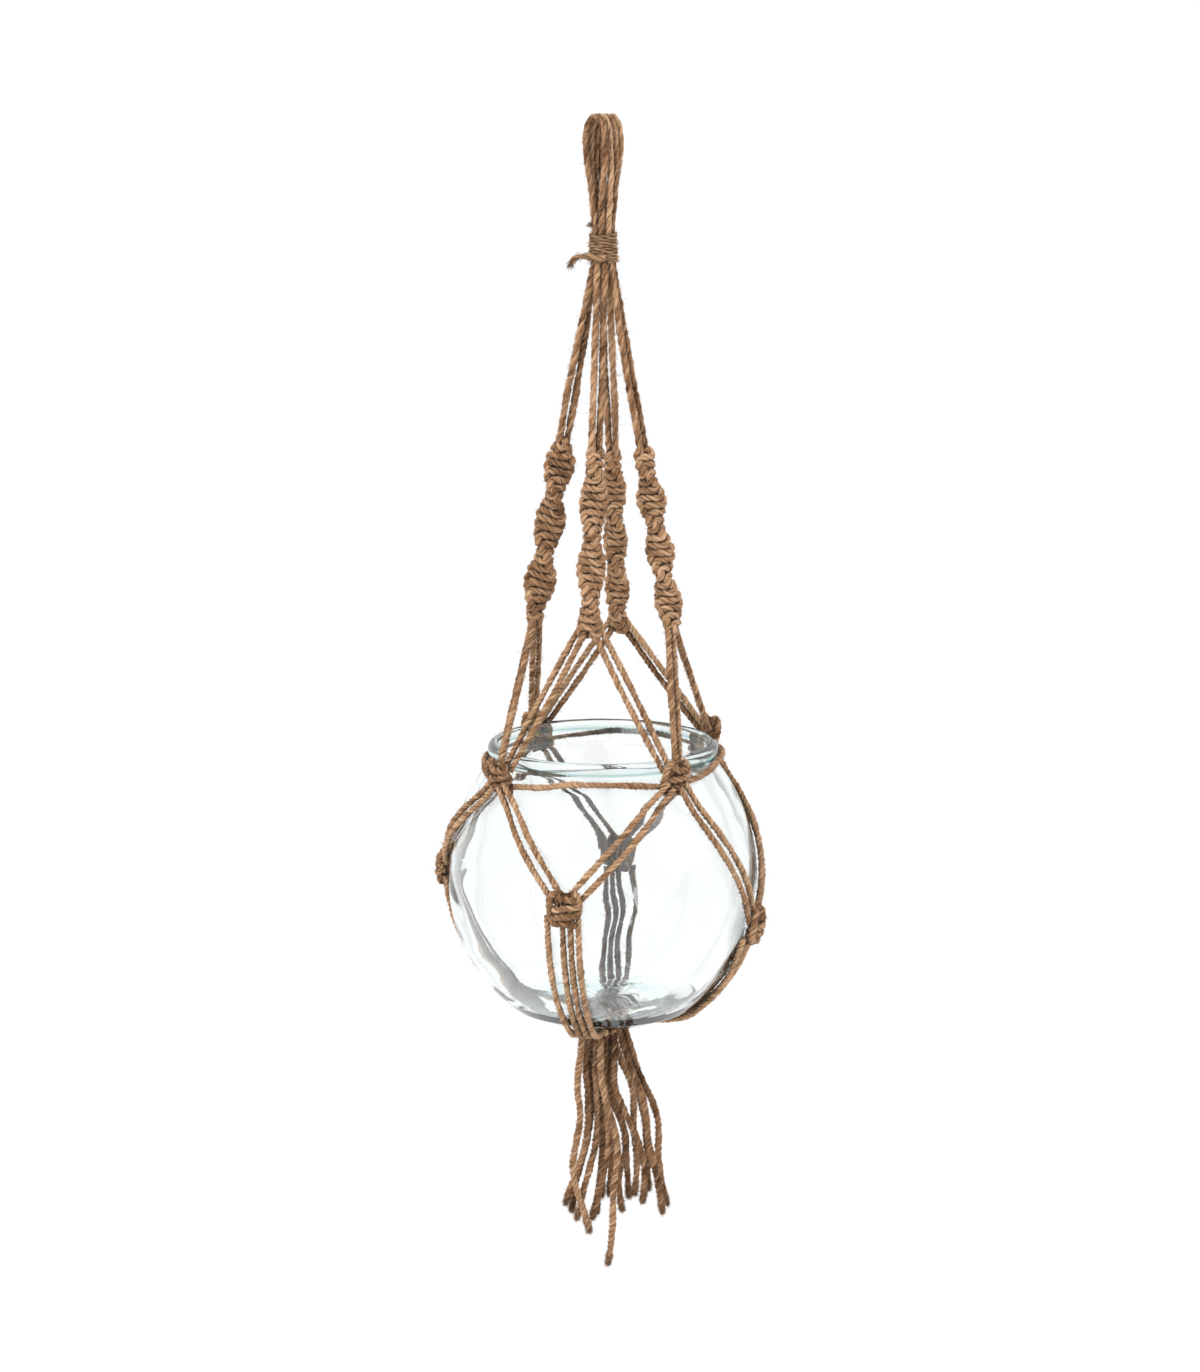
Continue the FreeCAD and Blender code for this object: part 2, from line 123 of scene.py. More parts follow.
# leg: the ring knots on either side of it
AROUND = {
    "front": ("front_left", "front_right"),
    "right": ("front_right", "back_right"),
    "back": ("back_right", "back_left"),
    "left": ("back_left", "front_left"),
}
NECK_CORD_R = 0.0701
NECK_CORD_DROP = 0.0020     # of a stretch's middle under its two knots
NECK_CORD_TURN = 8.0        # of that middle's two points from halfway between the knots
NECK_CORD_LEAVES = (        # azimuth from a knot, radius, drop under it
    (2.5, 0.0748, 0.0054),
    (12.0, 0.0731, 0.0044),
    (24.0, 0.0720, 0.0032),
)

# Bowl
BOWL_R = 0.092
BOWL_WIDE_Z = -0.443
SHOULDER_ARC = 0.114        # radii of the wall's profile above and below the widest place
BELLY_ARC = 0.096
GLASS_WALL = 0.004
NECK_R = 0.0665
NECK_Z = -0.371
SHOULDER_TOP_Z = -0.3742
LIP_R = 0.0682
LIP_TOP_Z = -0.3595
LIP_BOTTOM_Z = -0.3670
MOUTH_R = 0.0615
BASE_Z = -0.5255
BASE_R = 0.040
BASE_TURN_Z = -0.516        # where the belly turns into the base
FLOOR_THICK = 0.010
OUTLINE_STEP = 0.0009
BOWL_SEGMENTS = 288
AXIS_GAP = 0.0001           # the outline starts and ends this far from the axis

# Cords of the net
LIE = CORD_D / 2 + 0.0011   # a cord's centre from the glass it lies on
NET_SPANS = 7               # points along a cord that goes down the shoulder
QUAD_SPREAD = (-0.0108, -0.0017, 0.0028, 0.0074)
QUAD_EVEN = (-0.0066, -0.0022, 0.0022, 0.0066)
QUAD_END = {"front": -103.0, "right": 2.0, "back": 82.0, "left": 160.0}
QUAD_ANGLES = (7.0, 17.0, 27.5, 37.5, 47.0)
QUAD_UNDER = ((0.0525, -0.5252), (0.0410, -0.5284), (0.0270, -0.5286), (0.0135, -0.5289))
QUAD_LAST = (0.0080, -0.5315, 0.0135)          # radius, z, and the radius its offset is turned at
PAIR_GAP = 0.0045
PAIR_TOP_GAP = 0.0052
PAIR_LOW_GAP = 0.0064

# Tassel: the sixteen cut cords, from inside the bottom knot
TASSEL_FALL = 0.148         # of the longest one
TASSEL_FAN = 0.65
TASSEL_SWAY = 0.0035
TASSEL_FRAY = 0.007
TUFT = 560                  # fibres in the brush at a cut end
TASSEL = [
    [(-.012, -.008, -.5340), (-.014, -.008, -.555), (-.016, -.009, -.571), (-.013, -.009, -.587),
     (-.016, -.010, -.603), (-.019, -.010, -.619), (-.016, -.010, -.635), (-.011, -.009, -.649),
     (-.008, -.009, -.661)],
    [(-.001, -.008, -.5340), (-.002, -.008, -.556), (0, -.009, -.572), (.004, -.010, -.586),
     (.008, -.010, -.600), (.009, -.010, -.615), (.006, -.010, -.632), (.006, -.010, -.649),
     (.005, -.009, -.666), (.003, -.009, -.682)],
    [(.009, -.008, -.5340), (.015, -.008, -.556), (.022, -.009, -.570), (.026, -.010, -.586),
     (.027, -.010, -.602), (.031, -.010, -.618), (.034, -.010, -.634), (.036, -.010, -.649)],
    [(-.008, -.003, -.5340), (-.011, -.003, -.556), (-.009, -.003, -.573), (-.009, -.004, -.589),
     (-.010, -.003, -.606), (-.014, -.003, -.622), (-.020, -.004, -.636), (-.023, -.003, -.647)],
    [(-.003, -.003, -.5340), (-.005, -.003, -.557), (-.004, -.004, -.574), (-.003, -.003, -.591),
     (-.004, -.003, -.607), (-.008, -.003, -.623), (-.013, -.004, -.640), (-.016, -.003, -.656)],
    [(.002, -.003, -.5340), (.001, -.003, -.557), (.001, -.004, -.575), (.003, -.003, -.592),
     (.004, -.004, -.608), (.001, -.003, -.624), (-.003, -.004, -.641), (-.007, -.003, -.657)],
    [(.007, -.003, -.5340), (.007, -.003, -.556), (.006, -.003, -.571), (.011, -.003, -.583),
     (.017, -.004, -.596), (.023, -.003, -.612), (.026, -.003, -.629), (.024, -.003, -.645)],
    [(.0125, -.003, -.5340), (.019, -.003, -.555), (.023, -.004, -.568), (.030, -.004, -.581),
     (.034, -.004, -.596), (.033, -.004, -.613), (.035, -.004, -.631), (.039, -.003, -.647)],
    [(-.0125, .003, -.5340), (-.010, .003, -.557), (-.008, .003, -.573), (-.007, .003, -.589),
     (-.009, .003, -.606), (-.013, .004, -.623), (-.018, .003, -.640), (-.019, .003, -.655)],
    [(-.007, .003, -.5340), (-.004, .003, -.558), (-.002, .004, -.574), (-.001, .003, -.591),
     (0, .004, -.608), (-.001, .003, -.624), (-.003, .003, -.640), (-.004, .003, -.655)],
    [(-.001, .003, -.5340), (.003, .003, -.556), (.003, .003, -.571), (.006, .003, -.586),
     (.012, .003, -.598), (.015, .003, -.612), (.010, .003, -.626), (.009, .003, -.641),
     (.012, .003, -.655)],
    [(.004, .003, -.5340), (.009, .003, -.555), (.016, .003, -.568), (.019, .003, -.582),
     (.018, .003, -.598), (.020, .003, -.614), (.021, .003, -.630), (.019, .003, -.644)],
    [(.010, .007, -.5340), (.016, .009, -.556), (.020, .009, -.571), (.023, .009, -.587),
     (.026, .010, -.603), (.027, .009, -.618), (.027, .010, -.632), (.028, .010, -.644)],
    [(.005, .008, -.5340), (.004, .009, -.557), (.006, .009, -.573), (.010, .009, -.588),
     (.013, .009, -.604), (.014, .009, -.620), (.015, .010, -.636), (.016, .009, -.650)],
    [(-.005, .008, -.5340), (-.007, .009, -.557), (-.005, .009, -.574), (-.004, .009, -.590),
     (-.002, .010, -.606), (0, .009, -.621), (0, .010, -.635), (-.001, .009, -.648)],
    [(0, .008, -.5340), (-.001, .009, -.557), (.001, .010, -.573), (.003, .009, -.589),
     (.005, .010, -.606), (.005, .009, -.621), (.005, .010, -.635), (.004, .009, -.648)],
]


def vec(*values):
    return np.array(values, float)


def unit(v):
    return v / np.linalg.norm(v)


def polar(radius, azimuth, z):
    a = math.radians(azimuth)
    return vec(radius * math.cos(a), radius * math.sin(a), z)


def sideways(azimuth):
    a = math.radians(azimuth)
    return vec(-math.sin(a), math.cos(a), 0)


def seeded(name):
    """A random source of its own for each piece, the same in every run."""
    return np.random.default_rng(zlib.crc32(name.encode()))


def normalised(rows):
    return rows / np.linalg.norm(rows, axis=1)[:, None]


# ---------------------------------------------------------------- cords as meshes

def spline_line(points):
    """The smooth line that has these control points."""
    curve = bpy.data.curves.new("route", "CURVE")
    curve.dimensions = "3D"
    curve.resolution_u = 16
    spline = curve.splines.new("NURBS")
    spline.points.add(len(points) - 1)
    for place, point in zip(spline.points, points):
        place.co = (*point, 1)
    spline.order_u = 3
    spline.use_endpoint_u = True
    holder = bpy.data.objects.new("route", curve)
    mesh = bpy.data.meshes.new_from_object(holder)
    line = np.array([v.co for v in mesh.vertices], float)
    bpy.data.objects.remove(holder)
    bpy.data.meshes.remove(mesh)
    bpy.data.curves.remove(curve)
    return line


def swept(line, step):
    """Evenly spaced points on a line with an untwisted frame at each."""
    along = np.concatenate([[0], np.cumsum(np.linalg.norm(np.diff(line, axis=0), axis=1))])
    count = max(4, int(along[-1] / step) + 1)
    s = np.linspace(0, along[-1], count)
    p = np.stack([np.interp(s, along, line[:, k]) for k in range(3)], axis=1)
    t = normalised(np.gradient(p, axis=0))
    n = np.zeros_like(p)
    start = vec(1, 0, 0) if abs(t[0, 0]) < 0.8 else vec(0, 1, 0)
    n[0] = unit(start - t[0] * (start @ t[0]))
    for i in range(1, count):
        n[i] = unit(n[i - 1] - t[i] * (n[i - 1] @ t[i]))
    return p, t, n, np.cross(t, n), s


class Batch:
    """Vertices and faces of several cords that become one piece.

    Each vertex also has its place in the fibre pattern (strand), its tone, and how far it is out
    of the groove between two plies (groove), which the materials turn into painted shade there.
    """

    def __init__(self, name):
        self.rng = seeded(name)
        self.verts, self.quads, self.tris = [], [], []
        self.strand, self.tone, self.groove = [], [], []
        self.count = 0

    def add(self, verts, quads, tris, strand, tone, groove):
        self.verts.append(verts)
        self.quads.append(np.asarray(quads, np.int64).reshape(-1, 4) + self.count)
        self.tris.append(np.asarray(tris, np.int64).reshape(-1, 3) + self.count)
        self.strand.append(strand)
        self.tone.append(tone)
        self.groove.append(groove)
        self.count += len(verts)

    def mesh(self, name, material):
        verts = np.concatenate(self.verts)
        quads = np.concatenate(self.quads)
        tris = np.concatenate(self.tris)
        mesh = bpy.data.meshes.new(name)
        mesh.vertices.add(len(verts))
        mesh.vertices.foreach_set("co", verts.astype(np.float32).ravel())
        corners = np.concatenate([quads.ravel(), tris.ravel()])
        mesh.loops.add(len(corners))
        mesh.loops.foreach_set("vertex_index", corners.astype(np.int32))
        mesh.polygons.add(len(quads) + len(tris))
        starts = np.concatenate([np.arange(len(quads)) * 4,
                                 len(quads) * 4 + np.arange(len(tris)) * 3])
        mesh.polygons.foreach_set("loop_start", starts.astype(np.int32))
        mesh.update(calc_edges=True)
        mesh.shade_smooth()
        strand = mesh.attributes.new("strand", "FLOAT_VECTOR", "POINT")
        strand.data.foreach_set("vector", np.concatenate(self.strand).astype(np.float32).ravel())
        for label, values in (("tone", self.tone), ("groove", self.groove)):
            attribute = mesh.attributes.new(label, "FLOAT", "POINT")
            attribute.data.foreach_set("value", np.concatenate(values).astype(np.float32))
        mesh.materials.append(material)
        return mesh


def ring_faces(rings, sides):
    """The faces of a tube of this many rings."""
    i = np.arange(rings - 1)[:, None] * sides
    j = np.arange(sides)[None, :]
    k = (j + 1) % sides
    return np.stack([i + j, i + k, i + sides + k, i + sides + j], axis=2).reshape(-1, 4)


def fibres(batch, roots, directions, length, thick, tone, bend=0.5):
    """Loose fibres: thin three-sided tapering tubes, each curving its own way."""
    rng = batch.rng
    count = len(roots)
    if not count:
        return
    rings = 4
    long = length * rng.uniform(0.5, 1.0, count)[:, None]
    side = np.cross(directions, rng.normal(size=(count, 3)))
    side /= np.linalg.norm(side, axis=1)[:, None] + 1e-9
    other = np.cross(directions, side)
    verts = np.zeros((count, rings + 1, 3, 3))
    for r in range(rings + 1):
        part = r / rings
        centre = roots + directions * long * part + side * long * bend * part ** 2
        wide = thick * (1 - 0.75 * part)
        for c in range(3):
            angle = 2 * math.pi * c / 3
            verts[:, r, c] = centre + (side * math.cos(angle) + other * math.sin(angle)) * wide / 2
    per = (rings + 1) * 3
    one = ring_faces(rings + 1, 3)
    quads = (one[None] + np.arange(count)[:, None, None] * per).reshape(-1, 4)
    ends = np.array([[rings * 3, rings * 3 + 1, rings * 3 + 2], [2, 1, 0]])
    tris = (ends[None] + np.arange(count)[:, None, None] * per).reshape(-1, 3)
    tones = np.repeat(tone + rng.uniform(-0.15, 0.25, count), per)
    strand = rng.uniform(0, 9, (count * per, 3))
    batch.add(verts.reshape(-1, 3), quads, tris, strand, tones, np.ones(count * per))


def wave(rng, s, length):
    """A sine along a cord, with a phase of its own."""
    return np.sin(s / length + rng.uniform(0, 6))


def smoothed_noise(rng, count, sides, width):
    """Noise over a cord's rings and sides, smoothed along it over this many rings."""
    noise = rng.normal(size=(count + width - 1, sides))
    return sum(noise[k:k + count] for k in range(width)) / width ** 0.5


def strays(batch, path, count, radius, lean_most, lift, length, thick, tone):
    """Loose fibres from random places on a cord, leaning along it either way."""
    rng = batch.rng
    p, t, n, b = path
    i = rng.integers(2, len(p) - 2, count)
    around = rng.uniform(0, 2 * math.pi, count)[:, None]
    out = n[i] * np.cos(around) + b[i] * np.sin(around)
    lean = t[i] * rng.uniform(-lean_most, lean_most, count)[:, None]
    lean = lean + (out * rng.uniform(*lift, count)[:, None] if lift else out)
    fibres(batch, p[i] + out * radius * FIBRE_ROOT, normalised(lean), length, thick, tone)


def rope(batch, line, diameter=CORD_D, lay=LAY, fuzz=1.0, fray=0.0, plies=3, step=STEP,
         sides=PLY_SIDES, wobble=0.07, tone=0.0):
    """A laid cord along a line: plies in a helix, with streaky fibre relief and loose fibres.

    fuzz is how many loose fibres it has, fray the length that thins out at its end, and wobble
    how much it swells and thins on its way.
    """
    rng = batch.rng
    p, t, n, b, s = swept(line, step)
    count = len(p)
    radius = diameter / 2
    ply_r = radius * PLY_SHARE
    helix_r = radius - ply_r
    phase = rng.uniform(0, 2 * math.pi)
    tone += rng.normal(0, 0.06)
    # the lay is uneven, and the cord swells and thins, over a few diameters
    drift = np.cumsum(rng.normal(0, 0.06, count)) + 0.8 * wave(rng, s, 0.017)
    swell = 1 + wobble * wave(rng, s, 0.0075) + wobble * wave(rng, s, 0.0031)
    end = np.clip((s - (s[-1] - fray)) / fray, 0, 1) if fray else np.zeros(count)
    angle = 2 * math.pi * np.arange(sides) / sides
    # from 0 on a ply's inner side, in the groove, to 1 on its outer side: painted shade, as the
    # materials darken the colour in the groove
    far = np.sqrt(helix_r ** 2 + ply_r ** 2 + 2 * helix_r * ply_r * np.cos(angle))
    outside = np.clip((far / radius - 0.45) / 0.40, 0, 1)
    spin = angle[None, :] - 2 * math.pi * s[:, None] / PLY_REPEAT
    last = (count - 1) * sides
    caps = [[0, k + 1, k] for k in range(1, sides - 1)]
    caps += [[last, last + k, last + k + 1] for k in range(1, sides - 1)]
    for ply in range(plies):
        turn = 2 * math.pi * (s / lay + ply / plies) + phase + drift
        out = n * np.cos(turn)[:, None] + b * np.sin(turn)[:, None]
        across = b * np.cos(turn)[:, None] - n * np.sin(turn)[:, None]
        own = swell * (1 + 0.10 * wave(rng, s, 0.0053))
        centre = p + out * (helix_r * (1 + 0.25 * end))[:, None]
        coarse = smoothed_noise(rng, count, sides, 11)
        fine = smoothed_noise(rng, count, sides, 3)
        relief = 1 + COARSE_RELIEF * coarse + FINE_RELIEF * fine
        r = ply_r * (own * (1 - 0.75 * end ** 2))[:, None] * relief
        from_centre = (out[:, None] * np.cos(angle)[None, :, None]
                       + across[:, None] * np.sin(angle)[None, :, None])
        verts = centre[:, None] + r[:, :, None] * from_centre
        # painted shade: the groove value darkens the colour between the plies, and a little less on
        # the bumps that stand out
        groove = np.broadcast_to(outside, (count, sides)) * (0.85 + 0.15 * np.tanh(coarse + 1))
        lengthwise = np.broadcast_to(s[:, None] / 0.01, spin.shape) + 7 * ply + rng.uniform(0, 50)
        strand = np.stack([lengthwise, np.cos(spin) * ply_r / MM, np.sin(spin) * ply_r / MM],
                          axis=2)
        shade = (tone + rng.normal(0, 0.045) + 0.12 * wave(rng, s, 0.013)
                 + 0.07 * wave(rng, s, 0.0041) - 0.12 * end)
        batch.add(verts.reshape(-1, 3), ring_faces(count, sides), caps, strand.reshape(-1, 3),
                  np.repeat(shade, sides), groove.ravel())
    path = p, t, n, b
    loose = int(fuzz * FIBRES_PER_MM * s[-1] / MM)
    if loose:
        strays(batch, path, loose, radius, 1.6, (0.15, 0.9), 0.0024, 0.00021, tone + 0.15)
    if loose and not fray:
        few = max(1, int(fuzz * s[-1] / LONG_FIBRE_EVERY))
        strays(batch, path, few, radius, 1.0, None, 0.0050, 0.00024, tone + 0.15)
    return p, s[-1]


def piece(batch, name, material):
    """A batch as an object in the scene."""
    mesh = batch.mesh(name, material)
    obj = bpy.data.objects.new(name, mesh)
    bpy.context.scene.collection.objects.link(obj)
    return obj


# ---------------------------------------------------------------- materials

COLOUR_A, COLOUR_B, COLOUR_OUT = 6, 7, 2       # a Mix node's sockets for colours


def node_maker(material):
    """A function that adds a node with its inputs and properties, and one that links two."""
    material.use_nodes = True
    tree = material.node_tree
    tree.nodes.clear()

    def make(kind, **settings):
        node = tree.nodes.new(kind)
        for key, value in settings.items():
            if key in node.inputs.keys():
                node.inputs[key].default_value = value
            else:
                setattr(node, key, value)
        return node
    return make, tree.links.new


def colour_ramp(make, stops):
    """A ramp with these positions and colours, in order."""
    node = make("ShaderNodeValToRGB")
    elements = node.color_ramp.elements
    for element, (position, colour) in ((elements[0], stops[0]), (elements[1], stops[-1])):
        element.position = position
        element.color = (*colour, 1)
    for position, colour in stops[1:-1]:
        elements.new(position).color = (*colour, 1)
    return node


def product(make, link, first, second):
    """One colour times another."""
    node = make("ShaderNodeMix", data_type="RGBA", blend_type="MULTIPLY", Factor=1.0)
    link(first, node.inputs[COLOUR_A])
    link(second, node.inputs[COLOUR_B])
    return node.outputs[COLOUR_OUT]


def scaled_sum(make, link, value, factor, other):
    """A value times a factor, plus another value."""
    node = make("ShaderNodeMath", operation="MULTIPLY_ADD")
    link(value, node.inputs[0])
    node.inputs[1].default_value = factor
    link(other, node.inputs[2])
    return node.outputs[0]


def jute_material(name, dark, middle, light):
    """Dry plant fibre: streaks along each ply, tone from ply to ply, and painted shade that darkens
    the colour between the plies and in the gaps between cords.
    """
    material = bpy.data.materials.new(name)
    make, link = node_maker(material)
    strand = make("ShaderNodeAttribute", attribute_name="strand")
    tone = make("ShaderNodeAttribute", attribute_name="tone")
    groove = make("ShaderNodeAttribute", attribute_name="groove")
    stretch = make("ShaderNodeMapping", Scale=(2.0, 1.3, 1.3))
    link(strand.outputs["Vector"], stretch.inputs["Vector"])
    streaks = make("ShaderNodeTexNoise", Scale=1.6, Detail=4.0, Roughness=0.62)
    link(stretch.outputs["Vector"], streaks.inputs["Vector"])
    place = make("ShaderNodeTexCoord")
    patches = make("ShaderNodeTexNoise", Scale=55.0, Detail=2.0, Roughness=0.5)
    link(place.outputs["Object"], patches.inputs["Vector"])

    light_or_dark = scaled_sum(make, link, streaks.outputs["Fac"], 1.5, tone.outputs["Fac"])
    light_or_dark = scaled_sum(make, link, patches.outputs["Fac"], 0.35, light_or_dark)
    shift = make("ShaderNodeMath", operation="SUBTRACT")
    link(light_or_dark, shift.inputs[0])
    shift.inputs[1].default_value = 0.40
    ramp = colour_ramp(make, ((0.20, dark), (0.5, middle), (0.85, light)))
    link(shift.outputs[0], ramp.inputs["Fac"])

    # painted shade: the colour is darkened in the groove between plies, from the groove attribute
    groove_shade = make("ShaderNodeMapRange", **{"To Min": 0.45, "To Max": 1.0})
    link(groove.outputs["Fac"], groove_shade.inputs["Value"])
    # painted shade: ambient occlusion darkens the colour in the gaps and crevices between cords
    occlusion = make("ShaderNodeAmbientOcclusion", Distance=0.0045, samples=4)
    occlusion_shade = make("ShaderNodeMapRange",
                  **{"From Min": 0.25, "From Max": 0.75, "To Min": 0.25, "To Max": 1.0})
    link(occlusion.outputs["AO"], occlusion_shade.inputs["Value"])
    shaded = product(make, link, ramp.outputs["Color"], groove_shade.outputs["Result"])
    # the ramp's colour with both painted shades multiplied in
    deep = product(make, link, shaded, occlusion_shade.outputs["Result"])

    bump = make("ShaderNodeBump", Strength=0.7, Distance=0.0004)
    link(streaks.outputs["Fac"], bump.inputs["Height"])
    shader = make("ShaderNodeBsdfPrincipled", Roughness=0.88,
                  **{"Specular IOR Level": 0.18, "Sheen Weight": 0.12, "Sheen Roughness": 0.5})
    link(deep, shader.inputs["Base Color"])
    link(bump.outputs["Normal"], shader.inputs["Normal"])
    out = make("ShaderNodeOutputMaterial")
    link(shader.outputs["BSDF"], out.inputs["Surface"])
    return material


def glass_material():
    """Clear, faintly green glass whose colour darkens a little where it is seen edge-on: a painted
    dark reflection along its outline.
    """
    material = bpy.data.materials.new("glass")
    make, link = node_maker(material)
    # painted reflection: the colour darkens towards grey-teal where the glass is seen edge-on, as
    # if dark surroundings were reflected there
    edge_reflection = make("ShaderNodeLayerWeight", Blend=0.35)
    ramp = colour_ramp(make, ((0.68, (1, 1, 1)), (0.88, (0.80, 0.88, 0.88)),
                              (1.0, (0.30, 0.44, 0.44))))
    link(edge_reflection.outputs["Facing"], ramp.inputs["Fac"])
    thick = make("ShaderNodeAttribute", attribute_name="tone")
    teal = make("ShaderNodeMix", data_type="RGBA", blend_type="MIX")
    teal.inputs[COLOUR_A].default_value = (1, 1, 1, 1)
    teal.inputs[COLOUR_B].default_value = (0.17, 0.44, 0.43, 1)
    link(thick.outputs["Fac"], teal.inputs["Factor"])
    shade = product(make, link, ramp.outputs["Color"], teal.outputs[COLOUR_OUT])
    shader = make("ShaderNodeBsdfPrincipled", Roughness=0.0, IOR=1.5,
                  **{"Transmission Weight": 1.0})
    link(shade, shader.inputs["Base Color"])
    tint = make("ShaderNodeVolumeAbsorption", Density=9.0, Color=(0.25, 0.74, 0.70, 1))
    out = make("ShaderNodeOutputMaterial")
    link(shader.outputs["BSDF"], out.inputs["Surface"])
    link(tint.outputs["Volume"], out.inputs["Volume"])
    return material


JUTE = jute_material("jute", (0.065, 0.026, 0.009), (0.325, 0.168, 0.078), (0.64, 0.405, 0.238))
TWINE = jute_material("twine", (0.08, 0.034, 0.013), (0.35, 0.190, 0.092), (0.64, 0.41, 0.245))
GLASS = glass_material()


# ---------------------------------------------------------------- camera, then the tassel's cords

CAMERA_PLACE = (-0.0018, -1.7669, 0.0165)
CAMERA_DOWN = 11            # degrees that it looks down
LENS = 80.3
SENSOR = 36
FAR_CLIP = 60


def camera():
    data = bpy.data.cameras.new("camera")
    data.sensor_fit = "VERTICAL"
    data.sensor_height = SENSOR
    data.lens = LENS
    data.clip_end = FAR_CLIP
    obj = bpy.data.objects.new("camera", data)
    obj.location = CAMERA_PLACE
    obj.rotation_euler = (math.radians(90 - CAMERA_DOWN), 0, 0)
    bpy.context.scene.collection.objects.link(obj)
    bpy.context.scene.camera = obj


def fanned(route, index):
    """A tassel cord's route, leaning outward and swaying front to back as it falls."""
    points = []
    for x, y, z in route:
        fall = (route[0][2] - z) / TASSEL_FALL
        sway = TASSEL_SWAY * fall * math.sin(2.4 * index + 11 * fall)
        points.append(vec(x, y * (1 + TASSEL_FAN * fall) + sway, z))
    return points


def tassel_cords():
    for index, route in enumerate(TASSEL):
        name = f"tassel_strand_{index + 1:02d}"
        batch = Batch(name)
        path, length = rope(batch, spline_line(fanned(route, index)), diameter=TASSEL_CORD_D,
                            fray=TASSEL_FRAY, fuzz=1.8, wobble=0.09, tone=0.03)
        rng = batch.rng
        end, ahead = path[-1], unit(path[-1] - path[-6])
        spread = np.clip(rng.normal(size=(TUFT, 3)), -1.35, 1.35)
        roots = end - ahead * rng.uniform(0.0012, 0.009, TUFT)[:, None] + spread * 0.0006
        ways = normalised(ahead * rng.uniform(0.35, 1.1, TUFT)[:, None] + spread * 0.45)
        fibres(batch, roots, ways, 0.0033, 0.00028, 0.0, bend=0.2)
        obj = piece(batch, name, JUTE)
        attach(obj, "tassel")
        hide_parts(f"tassel_cord_{index + 1:02d}")


# ---------------------------------------------------------------- loop, wrap and legs

def loop_half(centre, side, slot, wide_half):
    """Half a fold's route, from the hook down through the wrap at the azimuth `slot`."""
    across = sideways(LOOP_BAR_ANGLE) * side
    wide = centre + across * wide_half
    tucked = polar(BUNDLE_R, slot, 0)
    waist = tucked * 1.36
    return [
        centre + across * 0.0058 + vec(0, 0, 0.0023),
        vec(wide[0], wide[1], -0.018),
        vec(waist[0], waist[1], -0.043),
        vec(tucked[0], tucked[1], -0.0612),
        vec(tucked[0], tucked[1], -0.0705),
    ]


def loop_cords():
    for index in range(4):
        name = f"loop_strand_{index + 1}"
        batch = Batch(name)
        centre = polar((index - 1.5) * LOOP_PITCH, LOOP_BAR_ANGLE, 0)
        wide = LOOP_HALF + batch.rng.uniform(-0.0007, 0.0004)
        left = loop_half(centre, 1, 215 - 45 * index, wide)
        right = loop_half(centre, -1, -100 + 45 * index, wide)
        rope(batch, spline_line(left[::-1] + right), diameter=LOOP_CORD_D, lay=LOOP_LAY, fuzz=2.0,
             tone=LOOP_TONES[index])
        obj = piece(batch, name, JUTE)
        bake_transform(obj)
        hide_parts(f"loop_cord_{index + 1}")


def brush(batch, root, aim, count, spread, scatter, tone):
    """Stray fibres in a bunch, from one place."""
    ways = normalised(aim + batch.rng.normal(size=(count, 3)) * spread)
    roots = root + batch.rng.normal(size=(count, 3)) * scatter
    fibres(batch, roots, ways, 0.0036, 0.00024, tone)


def wrap():
    """Twine wound round the eight strands, its tail out to one side and a stray bunch above."""
    batch = Batch("wrap_twine")
    points = []
    count = int(WRAP_TURNS * 12)
    for i in range(count + 1):
        part = i / count
        z = (WRAP_BOTTOM_Z + (WRAP_TOP_Z - WRAP_BOTTOM_Z) * part
             + 0.00018 * math.sin(9 * part * ROUND))
        radius = WRAP_R - WRAP_TAPER * part + 0.0002 * math.sin(23 * part)
        slant = WRAP_SLANT * part * math.sin(math.radians(360 * WRAP_TURNS * part - 60))
        points.append(polar(radius, -70 + 360 * WRAP_TURNS * part, z + slant))
    rope(batch, spline_line(points), diameter=TWINE_D, lay=0.012, plies=2, fuzz=1.3, step=0.0006,
         sides=7)
    tail = [polar(0.0078, -80, -0.0770), polar(0.0088, -120, -0.0766),
            polar(0.0110, -150, -0.0758), vec(-0.0140, -0.004, -0.0762),
            vec(-0.0172, -0.0045, -0.0782), vec(-0.0186, -0.0045, -0.0812)]
    rope(batch, spline_line(tail), diameter=CORD_D, lay=0.016, plies=2, fuzz=2.5, fray=0.006,
         tone=-0.08)
    brush(batch, vec(-0.0182, -0.0045, -0.0800), vec(-0.35, 0, -0.8), 110, 0.35, 0.0009, -0.18)
    brush(batch, vec(-0.0063, -0.0035, -0.0585), vec(-0.95, -0.1, 0.30), 90, 0.30, 0.0006, -0.05)
    obj = piece(batch, "wrap_twine", TWINE)
    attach(obj, "wrap")
    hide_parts("top_wrap")


def leg_cords():
    for leg, (azimuth, top_z, _, parting, *_) in LEGS.items():
        name = f"leg_strands_{leg}"
        batch = Batch(name)
        for side in (-1, 1):
            inside = polar(0.0046, azimuth + LEG_TOP_TURN * side, -0.0725)
            start = polar(LEG_TOP_R, azimuth + LEG_TOP_TURN * side, -0.0800)
            middle = polar(SENNIT_TOP_R, azimuth, top_z)
            apart = polar(LEG_END_HALF * side, parting, 0)
            end = middle + apart * 0.75
            span = middle + apart - start
            sway = batch.rng.normal(0, 0.0003, 2)
            points = [inside, start, start + span * 0.12, start + span * 0.45 + vec(sway[0], 0, 0),
                      start + span * 0.78 + vec(sway[1], 0, 0), end, end + unit(span) * 0.006]
            rope(batch, spline_line(points), lay=LEG_LAY, fuzz=2.0)
        obj = piece(batch, name, JUTE)
        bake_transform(obj)
        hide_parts(f"leg_cords_{leg}")


# ---------------------------------------------------------------- sennits

